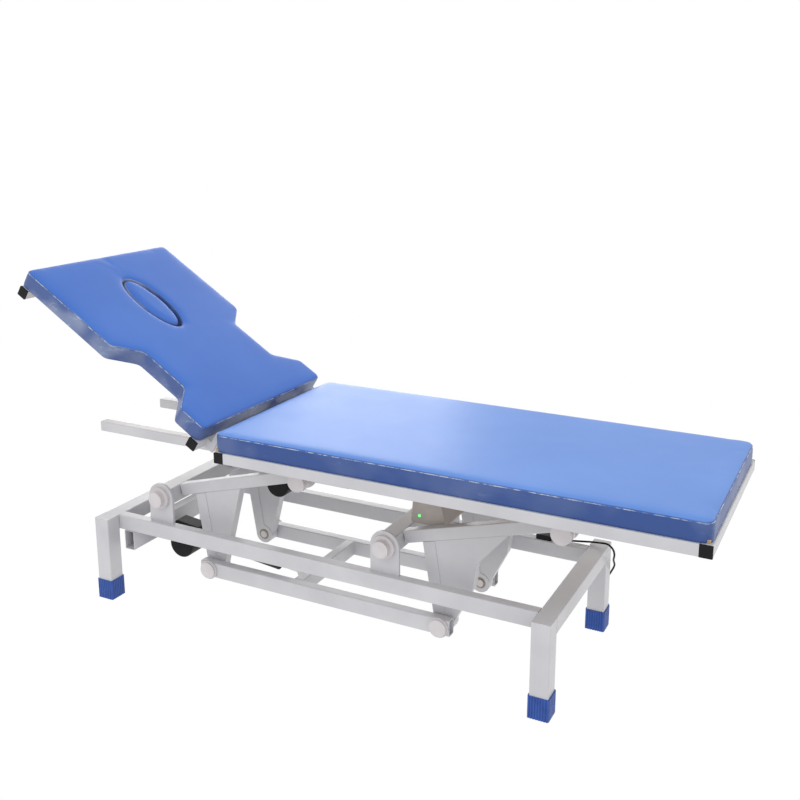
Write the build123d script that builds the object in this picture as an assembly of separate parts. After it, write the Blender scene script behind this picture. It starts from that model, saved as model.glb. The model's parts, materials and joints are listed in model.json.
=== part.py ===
from build123d import *

import math
import os

# Electric two-section treatment table: a welded steel base, two coupled rockers that lift a
# level upper frame, a fixed main cushion and a head section that tilts about a cross hinge.
#
# Millimetres. While it is being built, X runs along the table from the outer face of the base's
# head-end legs towards the foot end, Y runs across from the centre plane, and Z is up from the
# floor. export_all() then slides everything along X, so that the origin lies on the floor under
# the middle of the table. "near" parts are on the -Y side, "far" parts on the +Y side.

# ---------------------------------------------------------------- driving dimensions

WALL = 2.0  # wall of every steel tube
CORNER = 3.0  # outside corner radius of the tubes
FIT = 0.05  # radial gap of a pin held in its plate
RUN = 0.08  # radial running clearance of a pin in its bush
OPEN = 0.5  # radial clearance of the pivots that close the linkage

# base
BASE_LENGTH = 1430.0
BASE_WIDTH = 530.0
LEG = 50.0
LEG_TOP = 256.0
RAIL_H = 45.0
RAIL_W = 30.0
CAP_H = 60.0
CAP_WALL = 3.5
CAP_SOLE = 6.0
BEAM_X = (68.0, 103.0)
BEAM_H = 60.0

# rockers, the same at both ends, measured from the lug pivot
HEAD_PIVOT_X = 199.0
ROCKER_PITCH = 747.0
PIVOT_Z = 332.0
ARM = (482.0, 133.0)  # from the lug pivot to the upper pivot
LEVER = (148.0, -208.0)  # from the lug pivot to the lower pivot
TORSION = 50.0
ARM_D = 35.0
ARM_Y = (-138.0, -108.0)
ARM_END_R = 18.5
LEVER_END_R = 29.0
PIN_R = 11.0

# lugs on the base
LUG_W = 85.0
LUG_Y = (-196.0, -188.0)

# synchronising link
LINK_Y = (-172.0, -144.0)
LINK_OVERHANG = 30.0
CROSS_X = (627.0, 657.0)

# upper frame and cushions
TOP_TUBE = 30.0
TOP_HALF_W = 300.0
FRAME_X = (482.0, 1793.0)
FRAME_Z = 520.0
PLUG = 4.0  # flange of a black end plug
SUBRAIL_X0 = -62.0
SUBRAIL_Y = -135.0
SUBRAIL_Z = 500.0
BOARD_T = 9.0
BOARD_INSET = 9.0
CUSHION_Z = (551.0, 605.0)
CUSHION_HALF_W = 299.0
CUSHION_X = (474.0, 1794.0)
BEARER_X = (681.0, 860.0, 1020.0, 1224.0, 1428.0)

# head section: drawn flat, then tilted about the hinge
HINGE = (463.6, 581.4)
TILT = 32.0
HEAD_TUBE_X = (412.0, -282.0)
HEAD_RAIL_Y = 75.0
HEAD_END_X = 442.4
HEAD_LENGTH = 735.0
SHOULDER_HALF = 299.0
WAIST_HALF = 218.0
SHOULDER_END = 93.0
WAIST_START = 155.0
WAIST_END = 316.0
FLARE_END = 376.0
FACE_HOLE = (496.0, 236.0, 100.0)  # distance from the hinge end, length, width
FACE_GAP = 1.5

# head-section actuator
HEAD_LEVER_R = 156.0
HEAD_ACT_Y = -40.0
HEAD_ROD_RISE = 11.8
HEAD_CLEVIS_X = 860.0

# clevises of both actuators
EYE_GAP = 20.0
EAR = 6.0
EYE_PIN_R = 6.0
EYE_R = 12.0
EYE_W = 18.0
CLEVIS_R = 13.0

# lift actuator
LIFT_ACT_Y = -57.0
LIFT_REAR = (125.0, 174.0)
LIFT_FRONT = (603.0, 124.0)

# mains lead
CORD_D = 5.5
CORD_ROUTE = (
    (1302.0, 200.0, 263.5),
    (1318.0, 200.0, 263.5),
    (1336.0, 206.5, 263.0),
    (1357.0, 216.0, 262.0),
    (1379.0, 222.5, 262.5),
    (1400.0, 220.5, 265.5),
    (1417.0, 214.0, 270.0),
    (1432.0, 209.5, 272.5),
    (1444.0, 207.0, 267.2),
    (1452.0, 206.8, 257.5),
    (1454.0, 210.0, 243.0),
    (1450.0, 220.0, 229.5),
    (1445.0, 235.5, 216.5),
    (1442.5, 252.0, 203.0),
    (1441.5, 268.0, 186.0),
    (1433.0, 281.0, 165.0),
    (1420.0, 283.0, 141.0),
    (1414.5, 281.5, 113.0),
    (1414.0, 279.0, 86.0),
    (1415.2, 279.4, 64.5),
    (1416.0, 280.4, 49.8),
    (1416.2, 285.0, 38.3),
    (1416.4, 293.7, 29.5),
    (1416.2, 305.2, 24.75),
    (1416.2, 318.0, 24.75),
)
COIL_CENTRE = (1386.0, 318.0)
COIL_R = 27.5  # to the middle of the turns
COIL_LAYERS = 4

parts = {}


# ---------------------------------------------------------------- shared shapes


def block(x, y, z):
    """A box from its ranges along X, Y and Z."""
    size = [hi - lo for lo, hi in (x, y, z)]
    middle = [(lo + hi) / 2 for lo, hi in (x, y, z)]
    return Pos(*middle) * Box(*size)


def tube(start, end, width, height, width_dir):
    """A hollow rectangular tube from start to end, with its width along width_dir."""
    run = Vector(*end) - Vector(*start)
    plane = Plane(origin=start, x_dir=width_dir, z_dir=run.normalized())
    outside = RectangleRounded(width, height, CORNER)
    inside = RectangleRounded(width - 2 * WALL, height - 2 * WALL, CORNER - WALL)
    return extrude(plane * (outside - inside), amount=run.length)


def tube_x(x0, x1, y, z, width, height):
    """A tube along X, given its centre line, its width across and its height."""
    return tube((x0, y, z), (x1, y, z), width, height, (0, 1, 0))


def tube_y(x, y0, y1, z, width, height):
    """A tube along Y, given its centre line, its width along X and its height."""
    return tube((x, y0, z), (x, y1, z), width, height, (1, 0, 0))


def disc_y(x, z, y0, y1, radius):
    """A round bar along Y."""
    plane = Plane(origin=(x, y0, z), x_dir=(1, 0, 0), z_dir=(0, 1, 0))
    return extrude(plane * Circle(radius), amount=y1 - y0)


def plate_xz(points, y0, y1):
    """A flat plate whose outline lies in the XZ plane."""
    outline = make_face(Polyline(*[(x, y0, z) for x, z in points], close=True))
    return extrude(outline, amount=y1 - y0, dir=(0, 1, 0))


def stepped_pin(x, z, steps):
    """A headed pin along Y, from (y0, y1, radius) steps that touch end to end."""
    pin = disc_y(x, z, *steps[0])
    for step in steps[1:]:
        pin += disc_y(x, z, *step)
    return pin


def across(shape):
    """The same shape on the other side of the centre plane."""
    return mirror(shape, about=Plane.XZ)


def both_sides(*shapes):
    """The near shapes and their far twins, as separate solids of one node."""
    return Compound(children=[*shapes, *[across(shape) for shape in shapes]])


# ---------------------------------------------------------------- base

HALF_BASE = BASE_WIDTH / 2
RAIL_Z = LEG_TOP - RAIL_H / 2
RAIL_Y = HALF_BASE - LEG - RAIL_W / 2
LEG_X = (LEG / 2, BASE_LENGTH - LEG / 2)
LEG_Y = HALF_BASE - LEG / 2
PIVOT_X = {"head": HEAD_PIVOT_X, "foot": HEAD_PIVOT_X + ROCKER_PITCH}


def leg(x, y):
    """A square leg, closed at the top by a welded plate."""
    post = tube((x, y, CAP_SOLE), (x, y, LEG_TOP - WALL), LEG, LEG, (1, 0, 0))
    lid = Plane.XY.offset(LEG_TOP - WALL) * Pos(x, y) * RectangleRounded(LEG, LEG, CORNER)
    return post + extrude(lid, amount=WALL)


def foot_cap(x, y):
    """A moulded cap with upright flutes that the leg stands in."""
    side = LEG + 2 * CAP_WALL
    cap = extrude(Pos(x, y) * RectangleRounded(side, side, CORNER + CAP_WALL), amount=CAP_H)
    flute_step = 7.0
    flute_r = 1.6
    for i in range(-3, 4):
        for sx, sy in ((i * flute_step, side / 2), (i * flute_step, -side / 2)):
            cap -= Pos(x + sx, y + sy, CAP_H / 2) * Cylinder(flute_r, CAP_H)
            cap -= Pos(x + sy, y + sx, CAP_H / 2) * Cylinder(flute_r, CAP_H)
    pocket = Plane.XY.offset(CAP_SOLE) * Pos(x, y) * RectangleRounded(LEG, LEG, CORNER)
    return cap - extrude(pocket, amount=CAP_H)


def base_lug(x):
    """An upright plate with a round top and the pivot's hole."""
    plate = block((x - LUG_W / 2, x + LUG_W / 2), LUG_Y, (LEG_TOP, PIVOT_Z))
    plate += disc_y(x, PIVOT_Z, *LUG_Y, LUG_W / 2)
    return plate - disc_y(x, PIVOT_Z, *LUG_Y, PIN_R + FIT)


def base_pin(x):
    """A headed pivot pin: cap, collar, shaft."""
    lug = LUG_Y[0]
    steps = ((lug - 27, lug - 10, 23), (lug - 10, lug, 32), (lug, -150, PIN_R))
    return stepped_pin(x, PIVOT_Z, steps)


def base():
    legs = [leg(x, -LEG_Y) for x in LEG_X]
    parts["base_legs"] = both_sides(*legs)
    parts["foot_caps"] = both_sides(*[foot_cap(x, -LEG_Y) for x in LEG_X])
    inner = HALF_BASE - LEG
    end_rails = [tube_y(x, -inner, inner, RAIL_Z, LEG, RAIL_H) for x in LEG_X]
    parts["base_end_rails"] = Compound(children=end_rails)
    rail = tube_x(LEG, BASE_LENGTH - LEG, -RAIL_Y, RAIL_Z, RAIL_W, RAIL_H)
    parts["base_side_rails"] = both_sides(rail)
    beam_x = sum(BEAM_X) / 2
    beam_z = LEG_TOP - RAIL_H - BEAM_H / 2
    reach = RAIL_Y + RAIL_W / 2
    beam_w = BEAM_X[1] - BEAM_X[0]
    parts["actuator_beam"] = tube_y(beam_x, -reach, reach, beam_z, beam_w, BEAM_H)
    parts["base_pivot_lugs"] = both_sides(*[base_lug(x) for x in PIVOT_X.values()])
    parts["base_pivot_pins"] = both_sides(*[base_pin(x) for x in PIVOT_X.values()])


# ---------------------------------------------------------------- rockers

ARM_TAN = ARM[1] / ARM[0]
ARM_ANGLE = math.atan(ARM_TAN)
ARM_DROP = ARM_D / 2 / math.cos(ARM_ANGLE)
SPINE_W = 34.0
SPINE_TOP_X = 84.0
GUSSET_TOP_X = {"head": 243.0, "foot": 323.0}
GUSSET_FOOT_BEND = ((237.0, -27.0), (228.0, -100.0))
GUSSET_BOTTOM = ((178.0, -200.0), (150.0, -200.0))
GUSSET_INSET = 1.5
PLATE = 4.0


def arm_underside(dx):
    """Height of the arm's lower face above the lug pivot, dx beyond it."""
    return ARM_TAN * dx - ARM_DROP


def upper_arm(x):
    """The box-section arm from the torsion tube to the upper pivot."""
    ux, uz = math.cos(ARM_ANGLE), math.sin(ARM_ANGLE)
    y = sum(ARM_Y) / 2
    first = (TORSION / 2 + ARM_D / 2 * uz) / ux
    start = (x + first * ux, y, PIVOT_Z + first * uz)
    end = (x + ARM[0], y, PIVOT_Z + ARM[1])
    boss = disc_y(end[0], end[2], *ARM_Y, ARM_END_R)
    arm = tube(start, end, ARM_Y[1] - ARM_Y[0], ARM_D, (0, 1, 0)) + boss
    return arm - disc_y(end[0], end[2], *ARM_Y, ARM_END_R - 4)


def lever(x, end):
    """The tapering lever below the arm: a spine, two side plates and a closing edge."""
    low = (x + LEVER[0], PIVOT_Z + LEVER[1])
    left = (SPINE_TOP_X, arm_underside(SPINE_TOP_X))
    right = (SPINE_TOP_X + SPINE_W, arm_underside(SPINE_TOP_X + SPINE_W))
    toe = ((LEVER[0] + 5, LEVER[1]), (LEVER[0] - LEVER_END_R, LEVER[1]))
    spine = plate_xz([(x + a, PIVOT_Z + b) for a, b in (left, right, *toe)], *ARM_Y)
    spine += disc_y(*low, *ARM_Y, LEVER_END_R)

    top = GUSSET_TOP_X[end]
    bend = GUSSET_FOOT_BEND if end == "foot" else ()
    edge = [(top, arm_underside(top)), *bend, GUSSET_BOTTOM[0]]
    outline = [right, *edge, GUSSET_BOTTOM[1]]
    outline = [(x + a, PIVOT_Z + b) for a, b in outline]
    near = ARM_Y[0] + GUSSET_INSET
    far = ARM_Y[1] - GUSSET_INSET
    gusset = plate_xz(outline, near, near + PLATE) + plate_xz(outline, far - PLATE, far)
    inner = [(top - PLATE, arm_underside(top - PLATE)), *[(a - PLATE, b) for a, b in edge[1:]]]
    strip = [(x + a, PIVOT_Z + b) for a, b in edge + inner[::-1]]
    gusset += plate_xz(strip, near, far)
    whole = spine + (gusset - disc_y(*low, *ARM_Y, LEVER_END_R))
    return whole - disc_y(*low, *ARM_Y, LEVER_END_R - 12)


def bush(x, z, y, outer, clearance):
    """A flanged bush that a pivot pin runs in."""
    ring = disc_y(x, z, *y, outer)
    return ring - disc_y(x, z, *y, PIN_R + clearance)


def rocker_bushes(x, upper_play, lower_play):
    """The bushes of one rocker: torsion tube ends, arm ends and lever ends, both sides."""
    plug_side = TORSION - 2 * WALL
    bore = disc_y(x, PIVOT_Z, -184, -150, PIN_R + RUN)
    section = Plane(origin=(x, -184, PIVOT_Z), x_dir=(1, 0, 0), z_dir=(0, 1, 0))
    plug = extrude(section * RectangleRounded(plug_side, plug_side, CORNER - WALL), amount=34)
    top = (x + ARM[0], PIVOT_Z + ARM[1])
    low = (x + LEVER[0], PIVOT_Z + LEVER[1])
    bushes = [
        plug - bore,
        bush(*top, (ARM_Y[0] - 0.5, ARM_Y[1] + 0.5), ARM_END_R - 4, upper_play),
        bush(*low, (ARM_Y[0] - 0.5, ARM_Y[1] + 0.5), LEVER_END_R - 12, lower_play),
    ]
    return both_sides(*bushes)


def rocker(end, upper_play, lower_play):
    x = PIVOT_X[end]
    parts[f"torsion_tube_{end}"] = tube_y(x, -184, 184, PIVOT_Z, TORSION, TORSION)
    parts[f"lift_arms_{end}"] = both_sides(upper_arm(x))
    parts[f"levers_{end}"] = both_sides(lever(x, end))
    parts[f"rocker_bushes_{end}"] = rocker_bushes(x, upper_play, lower_play)


# ---------------------------------------------------------------- synchronising link

LOW_X = {end: x + LEVER[0] for end, x in PIVOT_X.items()}
LOW_Z = PIVOT_Z + LEVER[1]


def link_bar():
    """One side bar of the ladder that ties the two rockers together."""
    x0, x1 = LOW_X["head"] - LINK_OVERHANG, LOW_X["foot"] + LINK_OVERHANG
    bar = tube_x(x0, x1, sum(LINK_Y) / 2, LOW_Z, LINK_Y[1] - LINK_Y[0], RAIL_H)
    for x in LOW_X.values():
        bar += disc_y(x, LOW_Z, *LINK_Y, PIN_R + 5)
        bar -= disc_y(x, LOW_Z, *LINK_Y, PIN_R + FIT)
    return bar


def link_pin(x):
    face, inner = LINK_Y
    lever_face = ARM_Y[0] - 1.0
    steps = (
        (face - 11, face - 5, 24),
        (face - 5, face, 28),
        (face, inner, PIN_R),
        (inner, lever_face, PIN_R + 6),
        (lever_face, ARM_Y[1] + 3, PIN_R),
    )
    return stepped_pin(x, LOW_Z, steps)


def clevis(tip, root_x, y):
    """Two ears that reach along X from a face at root_x to a pivot at tip, in one solid."""
    x, z = tip
    reach = EYE_GAP / 2 + EAR
    high = (z - CLEVIS_R, z + CLEVIS_R)
    ears = block(tuple(sorted((x, root_x))), (y - reach, y + reach), high)
    ears += disc_y(x, z, y - reach, y + reach, CLEVIS_R)
    slot_end = root_x + math.copysign(5, x - root_x)
    slot_start = x + math.copysign(CLEVIS_R + 1, x - root_x)
    slot_x = tuple(sorted((slot_start, slot_end)))
    ears -= block(slot_x, (y - EYE_GAP / 2, y + EYE_GAP / 2), (high[0] - 1, high[1] + 1))
    return ears - disc_y(x, z, y - reach, y + reach, EYE_PIN_R + FIT)


def clevis_pin(tip, y):
    """A plain pin through a clevis, with a head at its near end."""
    reach = EYE_GAP / 2 + EAR
    steps = ((y - reach - 4, y - reach, EYE_PIN_R + 4), (y - reach, y + reach + 3, EYE_PIN_R))
    return stepped_pin(*tip, steps)


def link():
    parts["link_bars"] = both_sides(link_bar())
    width = CROSS_X[1] - CROSS_X[0]
    reach = -LINK_Y[1]
    parts["link_cross_member"] = tube_y(sum(CROSS_X) / 2, -reach, reach, LOW_Z, width, RAIL_H)
    parts["link_pivot_pins"] = both_sides(*[link_pin(x) for x in LOW_X.values()])
    parts["lift_rod_clevis"] = clevis(LIFT_FRONT, CROSS_X[0], LIFT_ACT_Y)
    parts["lift_rod_pin"] = clevis_pin(LIFT_FRONT, LIFT_ACT_Y)


# ---------------------------------------------------------------- linear actuators


def along(origin, target, y):
    """A plane at origin whose X axis runs towards target, its Y axis across and Z up."""
    run = Vector(target[0] - origin[0], 0, target[1] - origin[1]).normalized()
    return Plane(origin=(origin[0], y, origin[1]), x_dir=run, z_dir=(-run.Z, 0, run.X))


def bar_x(x0, x1, radius):
    """A round bar along the local X axis."""
    return Pos((x0 + x1) / 2, 0, 0) * Rot(0, 90, 0) * Cylinder(radius, x1 - x0)


def eye_block():
    return Rot(90, 0, 0) * Cylinder(EYE_R, EYE_W)


def eye_hole():
    return Rot(90, 0, 0) * Cylinder(EYE_PIN_R + RUN, 2 * EYE_W)


def actuator_body(plane, gearbox, motor, tube_run, tube_r, bore):
    """Gear housing with its rear eye, the motor that lies across, and the outer tube."""
    (gear_x0, gear_x1), (gear_z0, gear_z1), gear_w = gearbox
    motor_x, motor_z, motor_r, (motor_y0, motor_y1) = motor
    centre = Pos((gear_x0 + gear_x1) / 2, 0, (gear_z0 + gear_z1) / 2)
    shell = centre * Box(gear_x1 - gear_x0, gear_w, gear_z1 - gear_z0)
    shell = fillet(shell.edges().filter_by(Axis.Y), 12)
    neck = Pos((gear_x0 + 4) / 2, 0, 0) * Box(gear_x0 + 4, EYE_W, 1.6 * EYE_R)
    housing = eye_block() + neck + shell - eye_hole()
    middle = Pos(motor_x, (motor_y0 + motor_y1) / 2, motor_z)
    can = middle * Rot(90, 0, 0) * Cylinder(motor_r, motor_y1 - motor_y0)
    can = fillet(can.edges().filter_by(GeomType.CIRCLE), 6)
    outer = bar_x(*tube_run, tube_r) - bar_x(tube_run[0] + 8, tube_run[1] + 1, bore)
    housing -= bar_x(tube_run[0], gear_x1 + 1, tube_r)
    housing -= middle * Rot(90, 0, 0) * Cylinder(motor_r, motor_y1 - motor_y0)
    return plane * housing, plane * can, plane * outer


def actuator_rod(plane, length, radius):
    """The push rod, drawn back from its front eye."""
    rod = eye_block() + bar_x(-length, -EYE_R / 2, radius)
    return plane * (rod - eye_hole())


def lift_actuator():
    plane = along(LIFT_REAR, LIFT_FRONT, LIFT_ACT_Y)
    gearbox = ((18, 118), (-26, 36), 44)
    motor = (44, -44, 42, (-22, 78))
    shapes = actuator_body(plane, gearbox, motor, (100, 398), 20, 15)
    parts["lift_gearbox"], parts["lift_motor"], parts["lift_outer_tube"] = shapes
    beyond = tuple(2 * b - a for a, b in zip(LIFT_REAR, LIFT_FRONT))
    parts["lift_push_rod"] = actuator_rod(along(LIFT_FRONT, beyond, LIFT_ACT_Y), 262, 9)
    parts["lift_rear_clevis"] = clevis(LIFT_REAR, BEAM_X[1], LIFT_ACT_Y)
    parts["lift_rear_pin"] = clevis_pin(LIFT_REAR, LIFT_ACT_Y)


HEAD_EYE = (HINGE[0], HINGE[1] - HEAD_LEVER_R)
HEAD_FRONT = (HEAD_CLEVIS_X, HEAD_EYE[1] + HEAD_ROD_RISE)


def hanger(plates, top_x, top_z, y):
    """Twin plates hung from a crossbar, tied by a pad under it, with a pin hole at tip."""
    outline, tip = plates
    reach = EYE_GAP / 2 + EAR
    whole = plate_xz(outline, y - reach, y + reach) + disc_y(*tip, y - reach, y + reach, 15)
    gap = block((tip[0] - 200, tip[0] + 200), (y - EYE_GAP / 2, y + EYE_GAP / 2), (tip[1] - 20, top_z - 5))
    pad = block(top_x, (y - reach, y + reach), (top_z - 5, top_z))
    return whole - gap + pad - disc_y(*tip, y - reach, y + reach, EYE_PIN_R + FIT)


def head_actuator():
    level = Plane(origin=(HEAD_EYE[0], HEAD_ACT_Y, HEAD_EYE[1]))
    gearbox = ((18, 120), (-52, 28), 44)
    motor = (60, -43, 37, (-30, 62))
    shapes = actuator_body(level, gearbox, motor, (98, 288), 22.5, 20.8)
    parts["head_gearbox"], parts["head_motor"], parts["head_outer_tube"] = shapes
    front = Plane(origin=(HEAD_FRONT[0], HEAD_ACT_Y, HEAD_FRONT[1]))
    parts["head_push_rod"] = actuator_rod(front, 206, 7)
    x, z = HEAD_FRONT
    top_x = (x - TOP_TUBE / 2, x + TOP_TUBE / 2)
    outline = ((x - 14, z), (x + 14, z), (top_x[1], FRAME_Z), (top_x[0], FRAME_Z))
    parts["head_rod_bracket"] = hanger((outline, HEAD_FRONT), top_x, FRAME_Z, HEAD_ACT_Y)
    parts["head_rod_pin"] = clevis_pin(HEAD_FRONT, HEAD_ACT_Y)


# ---------------------------------------------------------------- upper frame

TOP_Z = FRAME_Z + TOP_TUBE / 2
TUBE_END = TOP_HALF_W - PLUG
EAR_Y = (90.0, 240.0)
UPPER_LUG_Y = ((-158.0, -150.0), (-104.0, -96.0))
BUFFER_X = (407.0, 447.0)  # under the head section's hinge tube when that lies flat
HINGE_PIN_R = 4.0
HINGE_EYE_R = 8.0


def end_plug(x, z):
    """A black plug that closes a square tube's near end: a flange and a stub."""
    plug_side = TOP_TUBE - 2 * WALL
    half = TOP_TUBE / 2
    flange = block((x - half, x + half), (-TOP_HALF_W, -TUBE_END), (z - half, z + half))
    flange = fillet(flange.edges().filter_by(Axis.Y), 2)
    stub = block(
        (x - plug_side / 2, x + plug_side / 2),
        (-TUBE_END, -TUBE_END + 16),
        (z - plug_side / 2, z + plug_side / 2),
    )
    return flange + fillet(stub.edges().filter_by(Axis.Y), CORNER - WALL)


def upper_lug(x, y0, y1):
    """A hanging plate with a round lower end, beside an arm's upper pivot."""
    z = PIVOT_Z + ARM[1]
    plate = block((x - 30, x + 30), (y0, y1), (z, FRAME_Z)) + disc_y(x, z, y0, y1, 30)
    return plate - disc_y(x, z, y0, y1, PIN_R + FIT)


def upper_pin(x):
    """The pin of an upper pivot: cap, collar, spacer, shaft."""
    z = PIVOT_Z + ARM[1]
    steps = (
        (-209, -197, 26),
        (-197, -184, 28),
        (-184, -158, PIN_R + 6),
        (-158, -150, PIN_R),
        (-150, -139.5, PIN_R + 5),
        (-139.5, -93, PIN_R),
    )
    return stepped_pin(x, z, steps)


def hinge_ear(y, x_root, z_root):
    """A plate that rises from a cross tube into the gap between the cushions."""
    x, z = HINGE
    lo = x - HINGE_EYE_R if x_root > x else x_root
    hi = x_root if x_root > x else x + HINGE_EYE_R
    plate = block((lo, hi), (y, y + EAR), (z_root, z_root + 26))
    neck = HINGE_EYE_R - 0.2
    plate += block((x - neck, x + neck), (y, y + EAR), (z_root, z))
    plate += disc_y(x, z, y, y + EAR, HINGE_EYE_R)
    return plate


def frame_ears():
    """The upper frame's hinge ears: two pairs a side."""
    ears = []
    for y in EAR_Y:
        for place in (-y - EAR, y):
            ear = hinge_ear(place, FRAME_X[0], FRAME_Z + 2)
            ears.append(ear - disc_y(*HINGE, place, place + EAR, HINGE_PIN_R + FIT))
    return Compound(children=ears)


def hinge_pins():
    return both_sides(*[disc_y(*HINGE, y - 1, y + 2 * EAR + 3, HINGE_PIN_R) for y in EAR_Y])


def control_box():
    """The actuators' control box, hung from a bearer, with a tapering front."""
    x = BEARER_X[2]
    outline = ((x - 30, 515), (x + 20, 515), (x + 63, 372), (x - 42, 372))
    shell = plate_xz(outline, -104, 20)
    shell = fillet(shell.edges().filter_by(Axis.Y), 6)
    return shell + block((x - 15, x + 15), (-60, 10), (515, FRAME_Z))


def upper_frame():
    head_x, foot_x = FRAME_X[0] + TOP_TUBE / 2, FRAME_X[1] - TOP_TUBE / 2
    ends = [tube_y(x, -TUBE_END, TUBE_END, TOP_Z, TOP_TUBE, TOP_TUBE) for x in (head_x, foot_x)]
    parts["frame_end_tubes"] = Compound(children=ends)
    parts["frame_end_plugs"] = both_sides(end_plug(head_x, TOP_Z), end_plug(foot_x, TOP_Z))
    x0, x1 = FRAME_X[0] + TOP_TUBE, FRAME_X[1] - TOP_TUBE
    rail_y = TOP_HALF_W - TOP_TUBE / 2
    parts["frame_side_rails"] = both_sides(tube_x(x0, x1, -rail_y, TOP_Z, TOP_TUBE, TOP_TUBE))
    inner = rail_y - TOP_TUBE / 2
    bearers = [tube_y(x, -inner, inner, TOP_Z, TOP_TUBE, TOP_TUBE) for x in BEARER_X]
    rail_y = (SUBRAIL_Y - TOP_TUBE / 2, SUBRAIL_Y + TOP_TUBE / 2)
    top = SUBRAIL_Z + TOP_TUBE / 2
    shims = [block((x - 15, x + 15), rail_y, (top, FRAME_Z)) for x in (head_x, *BEARER_X)]
    parts["frame_bearers"] = Compound(children=[*bearers, *shims, *[across(shim) for shim in shims]])
    sub = tube_x(SUBRAIL_X0, x1, SUBRAIL_Y, SUBRAIL_Z, TOP_TUBE, TOP_TUBE)
    parts["support_rails"] = both_sides(sub)
    parts["rest_buffers"] = both_sides(block(BUFFER_X, rail_y, (top, FRAME_Z - 0.5)))
    upper_x = [x + ARM[0] for x in PIVOT_X.values()]
    lugs = [upper_lug(x, *faces) for x in upper_x for faces in UPPER_LUG_Y]
    parts["upper_pivot_lugs"] = both_sides(*lugs)
    parts["upper_pivot_pins"] = both_sides(*[upper_pin(x) for x in upper_x])
    parts["hinge_ears_frame"] = frame_ears()
    parts["hinge_pins"] = hinge_pins()
    parts["control_box"] = control_box()


def main_cushion():
    x0, x1 = CUSHION_X
    inset = BOARD_INSET
    half = CUSHION_HALF_W
    board_z = (FRAME_Z + TOP_TUBE, FRAME_Z + TOP_TUBE + BOARD_T)
    board = block((x0 + inset, x1 - inset), (-half + inset, half - inset), board_z)
    pad = block((x0, x1), (-half, half), CUSHION_Z)
    pad = fillet(pad.edges().filter_by(Axis.Z), 18)
    pad = fillet(pad.faces().sort_by(Axis.Z)[-1].edges(), 7)
    parts["main_board"] = board
    parts["main_cushion"] = pad - board


# ---------------------------------------------------------------- head section


def tilted(shape):
    """Turn a shape of the flat head section about the hinge to its resting tilt."""
    x, z = HINGE
    return Pos(x, 0, z) * Rot(0, TILT, 0) * Pos(-x, 0, -z) * shape


def head_outline(inset):
    """The pad's outline seen from above, with arm cut-outs, moved in by inset."""
    half = (
        (0.0, SHOULDER_HALF),
        (SHOULDER_END, SHOULDER_HALF),
        (WAIST_START, WAIST_HALF),
        (WAIST_END, WAIST_HALF),
        (FLARE_END, SHOULDER_HALF),
        (HEAD_LENGTH, SHOULDER_HALF),
    )
    points = [(HEAD_END_X - u, -v) for u, v in half]
    points += [(HEAD_END_X - u, v) for u, v in reversed(half)]
    face = make_face(Polyline(*points, close=True))
    face = fillet(face.vertices(), 16)
    return offset(face, -inset) if inset else face


def head_slab(inset, z0, z1):
    return extrude(Plane.XY.offset(z0) * head_outline(inset), amount=z1 - z0)


def face_oval(grow, z0, z1):
    distance, length, width = FACE_HOLE
    oval = Ellipse(length / 2 + grow, width / 2 + grow)
    return extrude(Plane.XY.offset(z0) * Pos(HEAD_END_X - distance, 0) * oval, amount=z1 - z0)


def head_lever():
    """Twin plates from the hinge-end tube to the actuator's rear eye."""
    eye = Pos(HINGE[0], 0, HINGE[1]) * Rot(0, -TILT, 0) * Pos(0, 0, -HEAD_LEVER_R)
    x, z = eye.position.X, eye.position.Z
    top_x = (HEAD_TUBE_X[0], HEAD_TUBE_X[0] + TOP_TUBE)
    shoulder = (top_x[1] + 14, FRAME_Z - 22)
    outline = ((top_x[0], FRAME_Z), (top_x[1], FRAME_Z), shoulder, (x + 10, z + 11), (x - 10, z - 11))
    return hanger((outline, (x, z)), top_x, FRAME_Z, HEAD_ACT_Y)


def head_ears():
    """The head section's hinge ears, beside the frame's."""
    ears = []
    for y in EAR_Y:
        start = y + EAR + 0.6
        for place in (-start - EAR, start):
            ear = hinge_ear(place, HEAD_TUBE_X[0] + TOP_TUBE, FRAME_Z + 2)
            bore = disc_y(*HINGE, place, place + EAR, HINGE_PIN_R + RUN)
            ears.append(ear - bore)
    return Compound(children=ears)


def head_section():
    hinge_x, outer_x = HEAD_TUBE_X[0] + TOP_TUBE / 2, HEAD_TUBE_X[1] + TOP_TUBE / 2
    flat = {}
    for name, x in (("head_hinge_tube", hinge_x), ("head_outer_tube_rail", outer_x)):
        flat[name] = tube_y(x, -TUBE_END, TUBE_END, TOP_Z, TOP_TUBE, TOP_TUBE)
    flat["head_end_plugs"] = both_sides(end_plug(hinge_x, TOP_Z), end_plug(outer_x, TOP_Z))
    x0, x1 = HEAD_TUBE_X[1] + TOP_TUBE, HEAD_TUBE_X[0]
    rail = tube_x(x0, x1, -HEAD_RAIL_Y, TOP_Z, TOP_TUBE, TOP_TUBE)
    flat["head_side_tubes"] = both_sides(rail)
    board_z = (FRAME_Z + TOP_TUBE, FRAME_Z + TOP_TUBE + BOARD_T)
    hole = face_oval(0, FRAME_Z, CUSHION_Z[1] + 1)
    board = head_slab(BOARD_INSET, *board_z)
    pad = head_slab(0, *CUSHION_Z)
    pad = fillet(pad.faces().sort_by(Axis.Z)[-1].edges(), 7)
    flat["head_board"] = board - hole
    flat["head_cushion"] = pad - board - hole
    flat["head_actuator_lever"] = head_lever()
    flat["hinge_ears_head"] = head_ears()
    plug = face_oval(-FACE_GAP, FRAME_Z + TOP_TUBE, CUSHION_Z[1] - 1)
    flat["face_hole_plug"] = fillet(plug.faces().sort_by(Axis.Z)[-1].edges(), 4)
    for name, shape in flat.items():
        parts[name] = tilted(shape)
    parts["head_lever_pin"] = clevis_pin(HEAD_EYE, HEAD_ACT_Y)


# ---------------------------------------------------------------- mains lead


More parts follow.
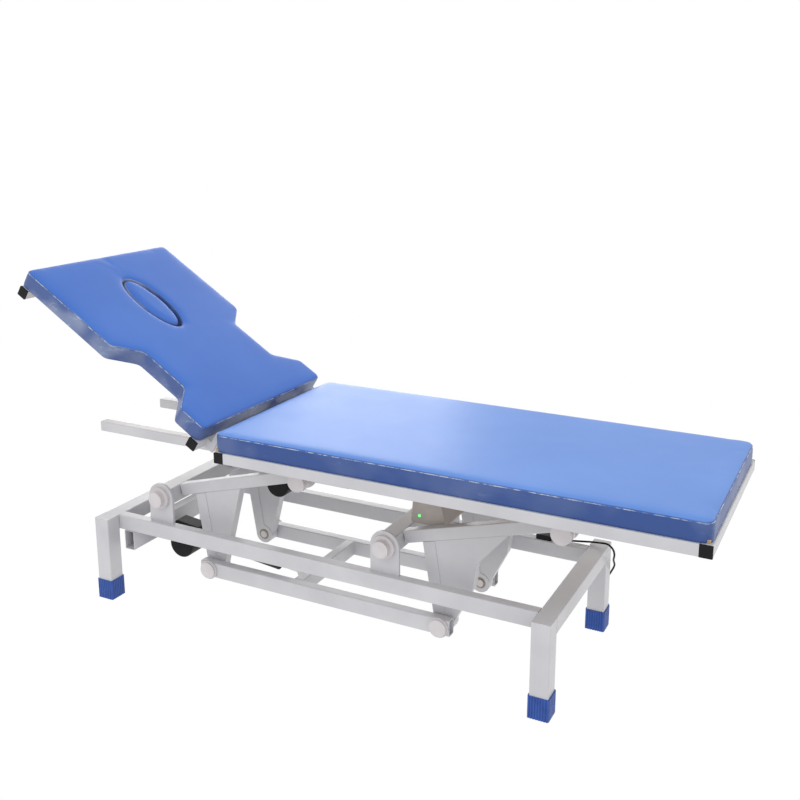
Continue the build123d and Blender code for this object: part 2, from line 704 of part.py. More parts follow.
def cord_tube(points, diameter):
    """A round lead along straight runs joined by the largest arcs that they allow."""
    nodes = [Vector(*p) for p in points]
    runs = [b - a for a, b in zip(nodes, nodes[1:])]
    radii = []
    for a, b in zip(runs, runs[1:]):
        turn = math.radians(a.get_angle(b))
        radii.append(0.45 * min(a.length, b.length) / math.tan(turn / 2))
    print("cord arc radii:", [round(r) for r in radii])
    path = FilletPolyline(*nodes, radius=radii)
    section = Plane(origin=nodes[0], z_dir=runs[0].normalized()) * Circle(diameter / 2)
    lead = sweep(section, path=path)
    expected = path.length * math.pi * diameter**2 / 4
    print(f"cord length {path.length:.0f} mm, volume ratio {lead.volume / expected:.3f}")
    return lead


def mains_lead():
    """Inlet box on the far rail, strain relief, lead, put-away coil and plug."""
    box = block((1230, 1274), (188, 212), (LEG_TOP, LEG_TOP + 15))
    parts["mains_inlet_box"] = fillet(box.edges().filter_by(Axis.Z), 4)
    exit_x, exit_y, exit_z = CORD_ROUTE[0]
    mouth = Plane(origin=(1274, exit_y, exit_z), x_dir=(0, 1, 0), z_dir=(1, 0, 0))
    relief = loft([mouth * Circle(6.5), mouth.offset(exit_x - 1274) * Circle(CORD_D / 2 + 1)])
    parts["mains_strain_relief"] = relief
    parts["mains_cord"] = cord_tube(CORD_ROUTE, CORD_D)
    x, y = COIL_CENTRE
    height = COIL_LAYERS * CORD_D
    coil = Pos(x, y, height / 2) * Cylinder(COIL_R + CORD_D, height)
    coil -= Pos(x, y, height / 2) * Cylinder(COIL_R - CORD_D, height)
    end_x, end_y, end_z = CORD_ROUTE[-1]
    half = CORD_D / 2
    lead_in = block((end_x - half, end_x + half), (end_y, end_y + 12), (end_z - half, end_z + half))
    parts["mains_coil"] = coil + lead_in
    body = Pos(x - 6, y + 25, height + 8.5) * Box(32, 24, 17)
    body = fillet(body.edges().filter_by(Axis.X), 5)
    pins = [Pos(x - 28, y + 25 + side * 6, height + 8.5) * Box(12, 1.6, 6) for side in (-1, 1)]
    parts["mains_plug"] = Compound(children=[body, *pins])


def export_all():
    base()
    rocker("head", RUN, RUN)
    rocker("foot", OPEN, OPEN)
    link()
    lift_actuator()
    upper_frame()
    main_cushion()
    head_section()
    head_actuator()
    boxes = [shape.bounding_box() for shape in parts.values()]  # before the lead, which lies outside
    x0 = min(b.min.X for b in boxes)
    x1 = max(b.max.X for b in boxes)
    middle = (x0 + x1) / 2
    mains_lead()
    print(f"length {x1 - x0:.1f}, origin at station {middle:.2f}, {len(parts)} nodes")
    os.makedirs("parts", exist_ok=True)
    for name, shape in parts.items():
        export_step(Pos(-middle, 0, 0) * shape, f"parts/{name}.step")


export_all()
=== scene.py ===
import json
import math

import bpy
import bmesh
from mathutils import Matrix, Vector
from mathutils.bvhtree import BVHTree


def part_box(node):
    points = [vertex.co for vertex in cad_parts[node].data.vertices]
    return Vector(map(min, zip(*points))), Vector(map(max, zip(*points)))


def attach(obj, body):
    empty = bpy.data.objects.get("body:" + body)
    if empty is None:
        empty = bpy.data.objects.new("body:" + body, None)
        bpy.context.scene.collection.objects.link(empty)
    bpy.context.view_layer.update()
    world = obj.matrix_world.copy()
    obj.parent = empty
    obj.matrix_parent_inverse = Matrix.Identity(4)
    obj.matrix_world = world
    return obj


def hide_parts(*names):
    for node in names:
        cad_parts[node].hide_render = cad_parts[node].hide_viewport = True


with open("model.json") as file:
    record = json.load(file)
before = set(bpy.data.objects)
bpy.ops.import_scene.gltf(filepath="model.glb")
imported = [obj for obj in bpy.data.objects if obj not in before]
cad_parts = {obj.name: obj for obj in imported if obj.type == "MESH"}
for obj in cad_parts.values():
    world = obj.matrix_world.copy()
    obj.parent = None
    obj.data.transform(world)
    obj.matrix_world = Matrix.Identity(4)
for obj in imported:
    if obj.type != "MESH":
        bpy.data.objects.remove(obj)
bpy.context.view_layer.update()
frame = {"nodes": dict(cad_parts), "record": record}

# ---------------------------------------------------------------- places, from the frame

STATION_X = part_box("base_legs")[0][0]  # the outer face of the base's head-end legs
MM = 0.001


def at(x, y, z):
    """A point given in millimetres from the base's head end, the centre plane and the floor."""
    return Vector((STATION_X + x * MM, y * MM, z * MM))


HINGE = (Vector(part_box("hinge_pins")[0]) + Vector(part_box("hinge_pins")[1])) / 2
TILT = math.radians(32)  # of the head section, as shown
TILTED = Matrix.Translation(HINGE) @ Matrix.Rotation(TILT, 4, "Y") @ Matrix.Translation(-HINGE)
HEAD_NORMAL = (math.sin(TILT), 0.0, math.cos(TILT))

# ---------------------------------------------------------------- material helpers


class Nodes:
    """Builds one material's nodes around its Principled shader."""

    def __init__(self, name, **sockets):
        self.material = bpy.data.materials.new(name)
        self.material.use_nodes = True
        self.tree = self.material.node_tree
        self.shader = self.tree.nodes["Principled BSDF"]
        for socket, value in sockets.items():
            self.shader.inputs[socket.replace("_", " ")].default_value = value
        self.coords = self.tree.nodes.new("ShaderNodeTexCoord")

    def link(self, source, target):
        self.tree.links.new(source, target)

    def stretched(self, scale):
        mapping = self.tree.nodes.new("ShaderNodeMapping")
        mapping.inputs["Scale"].default_value = scale
        self.link(self.coords.outputs["Object"], mapping.inputs["Vector"])
        return mapping.outputs["Vector"]

    def noise(self, scale, detail=4.0, rough=0.55, stretch=(1, 1, 1), distortion=0.0):
        node = self.tree.nodes.new("ShaderNodeTexNoise")
        node.inputs["Scale"].default_value = scale
        node.inputs["Detail"].default_value = detail
        node.inputs["Roughness"].default_value = rough
        node.inputs["Distortion"].default_value = distortion
        self.link(self.stretched(stretch), node.inputs["Vector"])
        return node.outputs["Fac"]

    def cells(self, scale, stretch=(1, 1, 1)):
        node = self.tree.nodes.new("ShaderNodeTexVoronoi")
        node.inputs["Scale"].default_value = scale
        self.link(self.stretched(stretch), node.inputs["Vector"])
        return node.outputs["Distance"]

    def ramp(self, value, low, high):
        """value, from low to high, spread over 0 to 1."""
        node = self.tree.nodes.new("ShaderNodeMapRange")
        node.inputs["From Min"].default_value = low
        node.inputs["From Max"].default_value = high
        self.link(value, node.inputs["Value"])
        return node.outputs["Result"]

    def scaled(self, value, low, high):
        """value, from 0 to 1, spread over low to high."""
        node = self.tree.nodes.new("ShaderNodeMapRange")
        node.inputs["To Min"].default_value = low
        node.inputs["To Max"].default_value = high
        self.link(value, node.inputs["Value"])
        return node.outputs["Result"]

    def math(self, operation, first, second):
        node = self.tree.nodes.new("ShaderNodeMath")
        node.operation = operation
        for socket, value in zip(node.inputs, (first, second)):
            if isinstance(value, (int, float)):
                socket.default_value = value
            else:
                self.link(value, socket)
        return node.outputs[0]

    def mix(self, factor, first, second):
        node = self.tree.nodes.new("ShaderNodeMix")
        node.data_type = "RGBA"
        self.link(factor, node.inputs["Factor"])
        for socket, value in ((node.inputs["A"], first), (node.inputs["B"], second)):
            if isinstance(value, tuple):
                socket.default_value = (*value, 1.0)
            else:
                self.link(value, socket)
        return node.outputs["Result"]

    def side_of(self, axis):
        """1 where the surface faces across axis, 0 where it faces along it."""
        dot = self.tree.nodes.new("ShaderNodeVectorMath")
        dot.operation = "DOT_PRODUCT"
        dot.inputs[1].default_value = axis
        self.link(self.coords.outputs["Normal"], dot.inputs[0])
        return self.ramp(self.math("ABSOLUTE", dot.outputs["Value"], 0.0), 0.75, 0.45)

    def colour(self, value):
        self.link(value, self.shader.inputs["Base Color"])

    def roughness(self, value):
        self.link(value, self.shader.inputs["Roughness"])

    def bump(self, height, strength, distance):
        node = self.tree.nodes.new("ShaderNodeBump")
        node.inputs["Strength"].default_value = strength
        node.inputs["Distance"].default_value = distance
        self.link(height, node.inputs["Height"])
        self.link(node.outputs["Normal"], self.shader.inputs["Normal"])


# ---------------------------------------------------------------- materials


def frame_paint():
    """Pale powder coat: a fine orange peel and a faint unevenness of colour."""
    m = Nodes("frame_paint", Coat_Weight=0.15, Coat_Roughness=0.2)
    m.colour(m.mix(m.ramp(m.noise(6.0), 0.35, 0.7), (0.50, 0.50, 0.525), (0.57, 0.57, 0.595)))
    m.roughness(m.scaled(m.noise(30.0), 0.32, 0.44))
    m.bump(m.noise(900.0, 2.0), 0.08, 0.0004)
    return m.material


# painted shade: the darker blue of the cushions' side panels, which face away from the light from above
VINYL_SHADED_SIDE = (0.014, 0.058, 0.24)
# painted reflection: the pale sheen of the clear packing film on the side panels
FILM_SHEEN_COLOUR = (0.42, 0.47, 0.58)


def vinyl(name, axis, film, tones):
    """Blue upholstery vinyl. Its side panels get painted shade, a darker blue, and patches of clear
    packing film whose sheen and glints are painted pale.
    """
    m = Nodes(name, Specular_IOR_Level=0.42)
    top = m.mix(m.ramp(m.noise(3.0, 3.0), 0.35, 0.7), *tones)
    side = m.side_of(axis)
    # painted shade: faces turned across the axis are mixed to the darker blue
    blue = m.mix(side, top, VINYL_SHADED_SIDE)
    creases = m.noise(16.0, 6.0, 0.7, (1.0, 1.0, 3.0), 1.6)
    # painted glints: the film's creases are made brighter within its patches
    film_glints = m.ramp(creases, 0.58, 0.66)
    patch = m.ramp(m.noise(5.0, 2.0), 0.45, 0.60)
    film_sheen_level = m.scaled(patch, 0.08 * film, 0.45 * film)
    # the film's patches on the side panels get the painted sheen and glints
    cover = m.math("MULTIPLY", side, m.math("ADD", film_sheen_level, m.math("MULTIPLY", film_glints, film_sheen_level)))
    m.colour(m.mix(cover, blue, FILM_SHEEN_COLOUR))
    m.roughness(m.scaled(m.noise(9.0, 3.0), 0.32, 0.42))
    grain = m.scaled(m.cells(650.0), 0.0, 0.06)
    folds = m.math("MULTIPLY", m.math("MULTIPLY", creases, side), 1.6 * film)
    m.bump(m.math("ADD", grain, folds), 0.45, 0.0022)
    return m.material


def seam_highlight():
    """A painted highlight along the seams: pale, broken by stretches of blue."""
    m = Nodes("seam_highlight", Roughness=0.4)
    m.colour(m.mix(m.ramp(m.noise(45.0, 5.0, 0.7), 0.44, 0.58), (0.03, 0.11, 0.42), (0.50, 0.57, 0.66)))
    return m.material


def foot_rubber():
    m = Nodes("foot_rubber", Specular_IOR_Level=0.45)
    m.colour(m.mix(m.ramp(m.noise(40.0), 0.3, 0.7), (0.013, 0.058, 0.28), (0.021, 0.082, 0.36)))
    m.roughness(m.scaled(m.noise(60.0), 0.30, 0.48))
    m.bump(m.noise(500.0), 0.15, 0.0004)
    return m.material


def moulded_plastic(name, dark, light, rough, shine=0.45):
    """Moulded plastic with a fine spark-eroded texture."""
    m = Nodes(name, Specular_IOR_Level=shine)
    m.colour(m.mix(m.ramp(m.noise(25.0), 0.3, 0.7), dark, light))
    m.roughness(m.scaled(m.noise(80.0), rough - 0.06, rough + 0.06))
    m.bump(m.noise(1100.0), 0.2, 0.0003)
    return m.material


def bare_steel():
    m = Nodes("bare_steel", Metallic=1.0)
    m.colour(m.mix(m.ramp(m.noise(14.0), 0.3, 0.7), (0.48, 0.48, 0.49), (0.64, 0.64, 0.64)))
    m.roughness(m.scaled(m.noise(40.0, 4.0, 0.6, (30.0, 1.0, 1.0)), 0.20, 0.38))
    m.bump(m.noise(300.0, 3.0, 0.6, (20.0, 1.0, 1.0)), 0.1, 0.0002)
    return m.material


def bronze():
    m = Nodes("bronze", Metallic=1.0)
    m.colour(m.mix(m.ramp(m.noise(30.0), 0.3, 0.7), (0.22, 0.19, 0.15), (0.34, 0.30, 0.24)))
    m.roughness(m.scaled(m.noise(90.0), 0.28, 0.45))
    return m.material


def plywood():
    """Birch ply: long grain on the faces and thin plies on the edges."""
    m = Nodes("plywood")
    grain = m.noise(5.0, 8.0, 0.65, (1.0, 22.0, 160.0), 0.4)
    m.colour(m.mix(m.ramp(grain, 0.35, 0.68), (0.33, 0.20, 0.10), (0.60, 0.43, 0.26)))
    m.roughness(m.scaled(m.noise(20.0), 0.5, 0.7))
    m.bump(grain, 0.25, 0.0006)
    return m.material


BLACK_TONES = ((0.004, 0.004, 0.005), (0.008, 0.008, 0.009))
# painted sheen: the main cushion's vinyl is painted lighter than the head cushion's, for the reflection
# on its top
MAIN_SHEEN_TONES = ((0.095, 0.235, 0.64), (0.112, 0.265, 0.69))
HEAD_TONES = ((0.030, 0.132, 0.51), (0.042, 0.157, 0.56))

PAINT = frame_paint()
RUBBER = foot_rubber()
CAP_PLASTIC = moulded_plastic("cap_plastic", (0.56, 0.53, 0.545), (0.62, 0.59, 0.605), 0.34)
BLACK = moulded_plastic("black_plastic", *BLACK_TONES, 0.5, 0.2)
GREY = moulded_plastic("grey_plastic", (0.38, 0.34, 0.32), (0.44, 0.40, 0.375), 0.42)
TUBE_GREY = moulded_plastic("tube_grey", (0.34, 0.34, 0.36), (0.40, 0.40, 0.42), 0.35)
STEEL = bare_steel()
BRONZE = bronze()
PLY = plywood()
MAIN_VINYL = vinyl("main_vinyl", (0.0, 0.0, 1.0), 0.3, MAIN_SHEEN_TONES)
HEAD_VINYL = vinyl("head_vinyl", HEAD_NORMAL, 1.25, HEAD_TONES)
# painted highlight for the seam lines along the cushions' upper edges
SEAM_HIGHLIGHT = seam_highlight()
CORD_BLACK = moulded_plastic("cord_black", *BLACK_TONES, 0.45, 0.2)

SLOT_MATERIALS = {
    "light_frame_paint": PAINT,
    "blue_rubber": RUBBER,
    "cap_plastic": CAP_PLASTIC,
    "black_plastic": BLACK,
    "grey_plastic": GREY,
    "steel_bright": STEEL,
    "bronze_bush": BRONZE,
    "plywood": PLY,
}


def dress_nodes():
    """Every CAD node that stays visible gets the material of its slot."""
    for entry in frame["record"]["subparts"]:
        look = SLOT_MATERIALS.get(entry["material_slot"])
        for slot in frame["nodes"][entry["node"]].material_slots:
            if look:
                slot.material = look
    for slot in frame["nodes"]["head_outer_tube"].material_slots:
        slot.material = TUBE_GREY


# ---------------------------------------------------------------- mesh helpers


def add(name, data, look, body):
    """A new piece of the table, with one material, that rides on body."""
    piece = bpy.data.objects.new(name, data)
    bpy.context.scene.collection.objects.link(piece)
    piece.data.materials.append(look)
    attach(piece, body)
    return piece


def rounded(corners, radius, steps=6):
    """A closed outline with each corner turned into a curve of about radius."""
    points = []
    count = len(corners)
    for i, corner in enumerate(corners):
        here = Vector(corner)
        back = (Vector(corners[i - 1]) - here).normalized()
        ahead = (Vector(corners[(i + 1) % count]) - here).normalized()
        half = back.angle(ahead) / 2
        reach = radius / math.tan(half)
        start = here + back * reach
        end = here + ahead * reach
        for step in range(steps + 1):
            t = step / steps
            points.append(start * (1 - t) ** 2 + here * 2 * t * (1 - t) + end * t**2)
    return points


def oval(centre, half_length, half_width, steps=64):
    angles = [2 * math.pi * i / steps for i in range(steps)]
    return [
        Vector((centre.x + half_length * math.cos(a), centre.y + half_width * math.sin(a)))
        for a in angles
    ]


def slab(name, outlines, z0, z1, edge):
    """A closed slab over the outlines, the later ones being holes, with rounded edges."""
    curve = bpy.data.curves.new(name, "CURVE")
    curve.dimensions = "2D"
    curve.fill_mode = "BOTH"
    curve.extrude = (z1 - z0) / 2 - edge
    curve.bevel_depth = edge
    curve.offset = -edge
    curve.bevel_resolution = 3
    for outline in outlines:
        spline = curve.splines.new("POLY")
        spline.points.add(len(outline) - 1)
        spline.use_cyclic_u = True
        for point, place in zip(spline.points, outline):
            point.co = (place.x, place.y, 0.0, 1.0)
    holder = bpy.data.objects.new(name, curve)
    mesh = bpy.data.meshes.new_from_object(holder)
    bpy.data.objects.remove(holder)
    mesh.transform(Matrix.Translation((0, 0, (z0 + z1) / 2)))
    return mesh


def applied(mesh, change):
    """The mesh after the modifiers that change adds to a temporary object."""
    holder = bpy.data.objects.new("holder", mesh)
    bpy.context.scene.collection.objects.link(holder)
    change(holder)
    graph = bpy.context.evaluated_depsgraph_get()
    result = bpy.data.meshes.new_from_object(holder.evaluated_get(graph))
    bpy.data.objects.remove(holder)
    return result


def remeshed(mesh, voxel):
    def change(holder):
        modifier = holder.modifiers.new("remesh", "REMESH")
        modifier.mode = "VOXEL"
        modifier.voxel_size = voxel

    return applied(mesh, change)


CLOTH_FRAMES = 20
CLOTH_STIFFNESS = 25


def inflated(mesh, pressure, cap):
    """Cloth under inner pressure for CLOTH_FRAMES frames, no point moved further than cap."""
    before = [v.co.copy() for v in mesh.vertices]
    holder = bpy.data.objects.new("cloth", mesh)
    scene = bpy.context.scene
    scene.collection.objects.link(holder)
    cloth = holder.modifiers.new("cloth", "CLOTH")
    cloth.settings.use_pressure = True
    cloth.settings.uniform_pressure_force = pressure
    cloth.settings.quality = 4
    cloth.settings.tension_stiffness = CLOTH_STIFFNESS
    cloth.settings.compression_stiffness = CLOTH_STIFFNESS
    cloth.settings.effector_weights.gravity = 0
    cloth.point_cache.frame_end = CLOTH_FRAMES
    for frame_number in range(1, CLOTH_FRAMES + 1):
        scene.frame_set(frame_number)
    graph = bpy.context.evaluated_depsgraph_get()
    result = bpy.data.meshes.new_from_object(holder.evaluated_get(graph))
    bpy.data.objects.remove(holder)
    scene.frame_set(1)
    for vertex, start in zip(result.vertices, before):
        move = vertex.co - start
        if move.length > cap:
            vertex.co = start + move * (cap / move.length)
    return result


def finished(mesh):
    """Smoothed, subdivided once and shaded smooth."""

    def change(holder):
        smooth = holder.modifiers.new("smooth", "SMOOTH")
        smooth.factor = 0.5
        smooth.iterations = 4
        holder.modifiers.new("subdivision", "SUBSURF").levels = 1

    result = applied(mesh, change)
    for polygon in result.polygons:
        polygon.use_smooth = True
    return result


def walked(outline, step):
    """Points about step apart along a closed outline."""
    points = []
    for start, end in zip(outline, outline[1:] + outline[:1]):
        count = max(1, round((end - start).length / step))
        points += [start.lerp(end, i / count) for i in range(count)]
    return points


SEAM_R = 0.0010
SEAM_STEP = 0.01


def seam(name, pad, outline, z, body, place):
    """A seam line, coloured with the painted seam highlight, that lies on the pad's surface, along the
    outline at height z.
    """
    surface = BVHTree.FromPolygons([v.co for v in pad.vertices], [p.vertices for p in pad.polygons])
    curve = bpy.data.curves.new(name, "CURVE")
    curve.dimensions = "3D"
    curve.bevel_depth = SEAM_R
    curve.bevel_resolution = 3
    points = walked(outline, SEAM_STEP)
    spline = curve.splines.new("POLY")
    spline.points.add(len(points) - 1)
    spline.use_cyclic_u = True
    for point, corner in zip(spline.points, points):
        spot = surface.find_nearest(Vector((corner.x, corner.y, z)))[0]
        point.co = (*(place @ spot), 1.0)
    holder = bpy.data.objects.new(name, curve)
    mesh = bpy.data.meshes.new_from_object(holder)
    bpy.data.objects.remove(holder)
    for polygon in mesh.polygons:
        polygon.use_smooth = True
    add(name, mesh, SEAM_HIGHLIGHT, body)


# ---------------------------------------------------------------- cushions

VOXEL = 0.006
PRESSURE = 4.0
PUFF = 0.0025  # how far the covers swell, so the slabs start that much smaller
MAIN_EDGE, HEAD_EDGE, PLUG_EDGE = 0.009, 0.007, 0.012  # radii of the covers' upper edges
MAIN_CORNER, HEAD_CORNER = 0.028, 0.018  # radii of the outlines' corners
PLUG_GAP = 0.0015  # between the plug and the hole
PLUG_SINK = 0.001  # of the plug's top, below the head cushion's
SEAM_DROP = 0.006  # of the seam line, below the top of the uninflated slab
IDENTITY = Matrix.Identity(4)
CUSHION_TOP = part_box("main_cushion")[1][2]
CUSHION_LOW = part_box("main_cushion")[0][2]
UNDERLAP = 0.0007  # the covers come down almost to the tubes, over the edge of the boards


def cushion(name, node, outlines, z0, z1, edge, look, body, place, with_seam_line=True):
    """A padded cover: slab, cloth pressure, smoothing, a flat base, then its place on the table."""
    mesh = remeshed(slab(name, outlines, z0 - edge, z1, edge), VOXEL)
    mesh = inflated(mesh, PRESSURE, PUFF)
    mesh = finished(mesh)
    for vertex in mesh.vertices:
        vertex.co.z = max(vertex.co.z, z0)
    if with_seam_line:
        seam(name + "_seam", mesh, outlines[0], z1 - SEAM_DROP, body, place)
    mesh.transform(place)
    piece = add(name, mesh, look, body)
    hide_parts(node)


def main_cushion():
    low, high = (Vector(corner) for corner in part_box("main_cushion"))
    x0, x1 = low.x + PUFF, high.x - PUFF
    y1 = high.y - PUFF
    outline = rounded([(x0, -y1), (x1, -y1), (x1, y1), (x0, y1)], MAIN_CORNER)
    z0, z1 = low.z - UNDERLAP, high.z - PUFF
    cushion(
        "main_pad", "main_cushion", [outline], z0, z1, MAIN_EDGE, MAIN_VINYL, "upper_frame", IDENTITY
    )


# the head cushion's outline when flat: distance from its hinge end, and half its width, in mm
HEAD_HALF_OUTLINE = (
    (0.0, 299.0),
    (93.0, 299.0),
    (155.0, 218.0),
    (316.0, 218.0),
    (376.0, 299.0),
    (735.0, 299.0),
)
HEAD_LENGTH = HEAD_HALF_OUTLINE[-1][0]
HEAD_END_X = 442.4
HEAD_END = at(HEAD_END_X, 0.0, 0.0).x
FACE_HOLE = (496.0, 118.0, 50.0)  # distance from the hinge end, half length, half width


def head_outline(inset):
    inset_mm = inset / MM
    near = []
    for u, half in HEAD_HALF_OUTLINE:
        u_in = min(max(u, inset_mm), HEAD_LENGTH - inset_mm)
        near.append((HEAD_END - u_in * MM, -(half - inset_mm) * MM))
    far = [(x, -y) for x, y in reversed(near)]
    return rounded(near + far, HEAD_CORNER)


def face_oval(grow):
    distance, half_length, half_width = FACE_HOLE
    centre = Vector((HEAD_END - distance * MM, 0.0))
    return oval(centre, half_length * MM + grow, half_width * MM + grow)


def head_cushion():
    z0, z1 = CUSHION_LOW - UNDERLAP, CUSHION_TOP - PUFF
    outlines = [head_outline(PUFF), face_oval(PUFF)]
    cushion(
        "head_pad", "head_cushion", outlines, z0, z1, HEAD_EDGE, HEAD_VINYL, "head_section", TILTED
    )


def face_plug():
    z0, z1 = CUSHION_LOW, CUSHION_TOP - PUFF - PLUG_SINK
    outline = face_oval(-PLUG_GAP - PUFF)
    cushion(
        "face_pad", "face_hole_plug", [outline], z0, z1, PLUG_EDGE, HEAD_VINYL, "face_plug", TILTED,
        with_seam_line=False,
    )


# ---------------------------------------------------------------- mains lead

CORD_D = 5.5 * MM
PLUG_OVERLAP = 0.006  # how far the lead runs on into the plug
CORD_ROUTE = (
    (1302.0, 200.0, 263.5),
    (1318.0, 200.0, 263.5),
    (1336.0, 206.5, 263.0),
    (1357.0, 216.0, 262.0),
    (1379.0, 222.5, 262.5),
    (1400.0, 220.5, 265.5),
    (1417.0, 214.0, 270.0),
    (1432.0, 209.5, 272.5),
    (1444.0, 207.0, 267.2),
    (1452.0, 206.8, 257.5),
    (1454.0, 210.0, 243.0),
    (1450.0, 220.0, 229.5),
    (1445.0, 235.5, 216.5),
    (1442.5, 252.0, 203.0),
    (1441.5, 268.0, 186.0),
    (1433.0, 281.0, 165.0),
    (1420.0, 283.0, 141.0),
    (1414.5, 281.5, 113.0),
    (1414.0, 279.0, 86.0),
    (1415.2, 279.4, 64.5),
    (1416.0, 280.4, 49.8),
    (1416.2, 285.0, 38.3),
    (1416.4, 293.7, 29.5),
    (1416.2, 305.2, 24.75),
    (1416.2, 318.0, 24.75),
)
COIL_CENTRE = (1386.0, 318.0)
COIL_R = 27.5  # to the middle of the two columns of turns
COIL_LAYERS = 4
POINTS_PER_TURN = 16
# the rest of the coil's lengths are counted in turns
COIL_OVERRUN = 0.1  # of the outer column past its last whole turn
COIL_SHORT = 0.98  # by which the inner column has fewer turns than COIL_LAYERS
COIL_CROSSING = 0.25  # from the outer column to the inner one
COIL_FLAT = 0.2  # on the floor before the inner column climbs
COIL_LEAD_OUT = 0.35  # the last stretch, which rises to the plug
COIL_LEAD_RISE = 10.0  # mm


def coil_points():
    """Down the outer column of turns, in to the inner one, up it, and out to the plug."""
    x, y = COIL_CENTRE
    pitch = CORD_D / MM
    outer, inner = COIL_R + pitch / 2, COIL_R - pitch / 2
    bottom = pitch / 2
    down = COIL_LAYERS + COIL_OVERRUN
    total = down + COIL_LAYERS - COIL_SHORT
    points = []
    for i in range(1, int(POINTS_PER_TURN * total) + 1):
        turns = i / POINTS_PER_TURN
        angle = 2 * math.pi * turns
        inward = min(max((turns - down) / COIL_CROSSING, 0.0), 1.0)
        radius = outer + (inner - outer) * inward
        if turns <= down:
            height = max(bottom + pitch * (COIL_LAYERS - turns), bottom)
        else:
            height = bottom + pitch * max(0.0, turns - down - COIL_FLAT)
        height += COIL_LEAD_RISE * max(0.0, (turns - total + COIL_LEAD_OUT) / COIL_LEAD_OUT)
        points.append((x + radius * math.cos(angle), y + radius * math.sin(angle), height))
    return points


def mains_lead():
    points = [at(*point) for point in CORD_ROUTE] + [at(*point) for point in coil_points()]
    plug_low, plug_high = (Vector(corner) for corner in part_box("mains_plug"))
    rear = Vector((plug_high.x, (plug_low.y + plug_high.y) / 2, (plug_low.z + plug_high.z) / 2))
    points += [rear, rear + Vector((-PLUG_OVERLAP, 0, 0))]
    curve = bpy.data.curves.new("mains_lead", "CURVE")
    curve.dimensions = "3D"
    curve.bevel_depth = CORD_D / 2
    curve.bevel_resolution = 4
    curve.resolution_u = 6
    spline = curve.splines.new("NURBS")
    spline.points.add(len(points) - 1)
    for point, place in zip(spline.points, points):
        point.co = (*place, 1.0)
    spline.order_u = 3
    spline.use_endpoint_u = True
    lead = add("mains_lead", curve, CORD_BLACK, "base")
    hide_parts("mains_cord", "mains_coil")


# ---------------------------------------------------------------- control box lamp


LAMP_R = 3.6 * MM
LAMP_ALONG = 0.24  # of the control box's length
LAMP_RISE = 22 * MM  # above the control box's lower edge


def status_lamp():
    """The small green lamp near the lower edge of the control box's near face."""
    m = Nodes("green_lamp", Roughness=0.3, Base_Color=(0.05, 0.6, 0.12, 1.0),
              Emission_Color=(0.12, 1.0, 0.25, 1.0), Emission_Strength=1.6)
    low, high = (Vector(corner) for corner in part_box("control_box"))
    lens = bmesh.new()
    bmesh.ops.create_uvsphere(lens, u_segments=24, v_segments=12, radius=LAMP_R)
    mesh = bpy.data.meshes.new("status_lamp")
    lens.to_mesh(mesh)
    lens.free()
    along = low.x + LAMP_ALONG * (high.x - low.x)
    mesh.transform(Matrix.Translation((along, low.y, low.z + LAMP_RISE)))
    for polygon in mesh.polygons:
        polygon.use_smooth = True
    add("status_lamp", mesh, m.material, "upper_frame")


# ---------------------------------------------------------------- camera, light and floor


CAMERA_PLACE = (2094.5, -2332.8, 1456.1)  # in millimetres, as at() takes it
CAMERA_ELEVATION, CAMERA_ROLL, CAMERA_AZIMUTH = 0.224, 0.004, 0.457  # in radians
SENSOR, LENS = 36.0, 44.81
SHIFT = (-0.0234, -0.0825)
KEY = {"place": (-1.0, -3.2, 3.4), "target": (0.2, 0.0, 0.5), "size": 2.4, "watts": 28.0}
GLINT = {"place": (-1.9, 2.5, 1.3), "target": (-0.3, 0.0, 0.6), "size": 2.0, "watts": 26.0}
FLOOR_REACH = 30.0


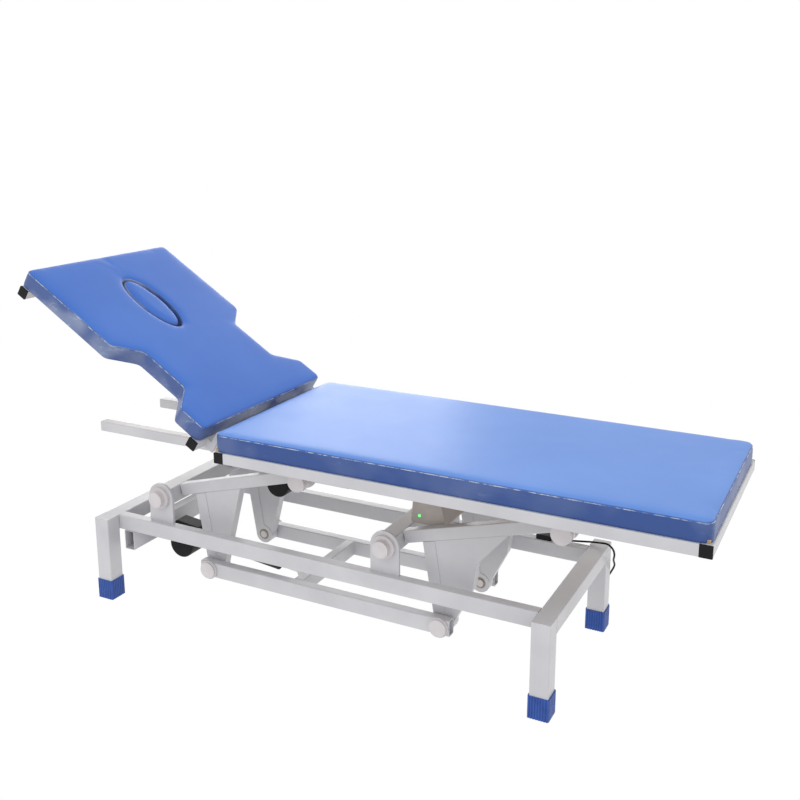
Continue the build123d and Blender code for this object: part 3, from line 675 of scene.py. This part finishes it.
def camera():
    level, drop = math.cos(CAMERA_ELEVATION), -math.sin(CAMERA_ELEVATION)
    forward = Vector((-math.sin(CAMERA_AZIMUTH) * level, math.cos(CAMERA_AZIMUTH) * level, drop))
    right = Vector((math.cos(CAMERA_AZIMUTH), math.sin(CAMERA_AZIMUTH), 0.0))
    up = right.cross(forward)
    turned_right = right * math.cos(CAMERA_ROLL) + up * math.sin(CAMERA_ROLL)
    turned_up = up * math.cos(CAMERA_ROLL) - right * math.sin(CAMERA_ROLL)
    data = bpy.data.cameras.new("camera")
    data.sensor_width = SENSOR
    data.lens = LENS
    data.shift_x, data.shift_y = SHIFT
    eye = bpy.data.objects.new("camera", data)
    columns = (turned_right, turned_up, -forward)
    turn = Matrix(columns).transposed().to_4x4()
    eye.matrix_world = Matrix.Translation(at(*CAMERA_PLACE)) @ turn
    bpy.context.scene.collection.objects.link(eye)
    bpy.context.scene.camera = eye


def area_light(name, place, target, size, watts):
    data = bpy.data.lights.new(name, "AREA")
    data.shape = "SQUARE"
    data.size = size
    data.energy = watts
    lamp = bpy.data.objects.new(name, data)
    lamp.location = place
    lamp.rotation_euler = (Vector(target) - Vector(place)).to_track_quat("-Z", "Y").to_euler()
    bpy.context.scene.collection.objects.link(lamp)


OPAQUE_WHITE = (1.0, 1.0, 1.0, 1.0)
OPAQUE_BLACK = (0.0, 0.0, 0.0, 1.0)


def studio():
    """Soft light from all sides, two weak lamps, and a floor that glows white to the horizon."""
    world = bpy.data.worlds.new("studio")
    world.use_nodes = True
    world.node_tree.nodes["Background"].inputs["Color"].default_value = OPAQUE_WHITE
    world.node_tree.nodes["Background"].inputs["Strength"].default_value = 1.0
    scene = bpy.context.scene
    scene.world = world
    scene.view_settings.view_transform = "Standard"
    area_light("key", **KEY)
    area_light("glint", **GLINT)
    mesh = bpy.data.meshes.new("floor")
    signs = ((-1, -1), (1, -1), (1, 1), (-1, 1))
    corners = [(x * FLOOR_REACH, y * FLOOR_REACH, 0) for x, y in signs]
    mesh.from_pydata(corners, [], [(0, 1, 2, 3)])
    floor = bpy.data.objects.new("floor", mesh)
    scene.collection.objects.link(floor)
    look = Nodes("floor_glow", Base_Color=OPAQUE_BLACK, Roughness=1.0, Specular_IOR_Level=0.0,
                 Emission_Color=OPAQUE_WHITE, Emission_Strength=1.0)
    floor.data.materials.append(look.material)


# ---------------------------------------------------------------- the table

dress_nodes()
camera()
studio()
mains_lead()
main_cushion()
head_cushion()
face_plug()
status_lamp()
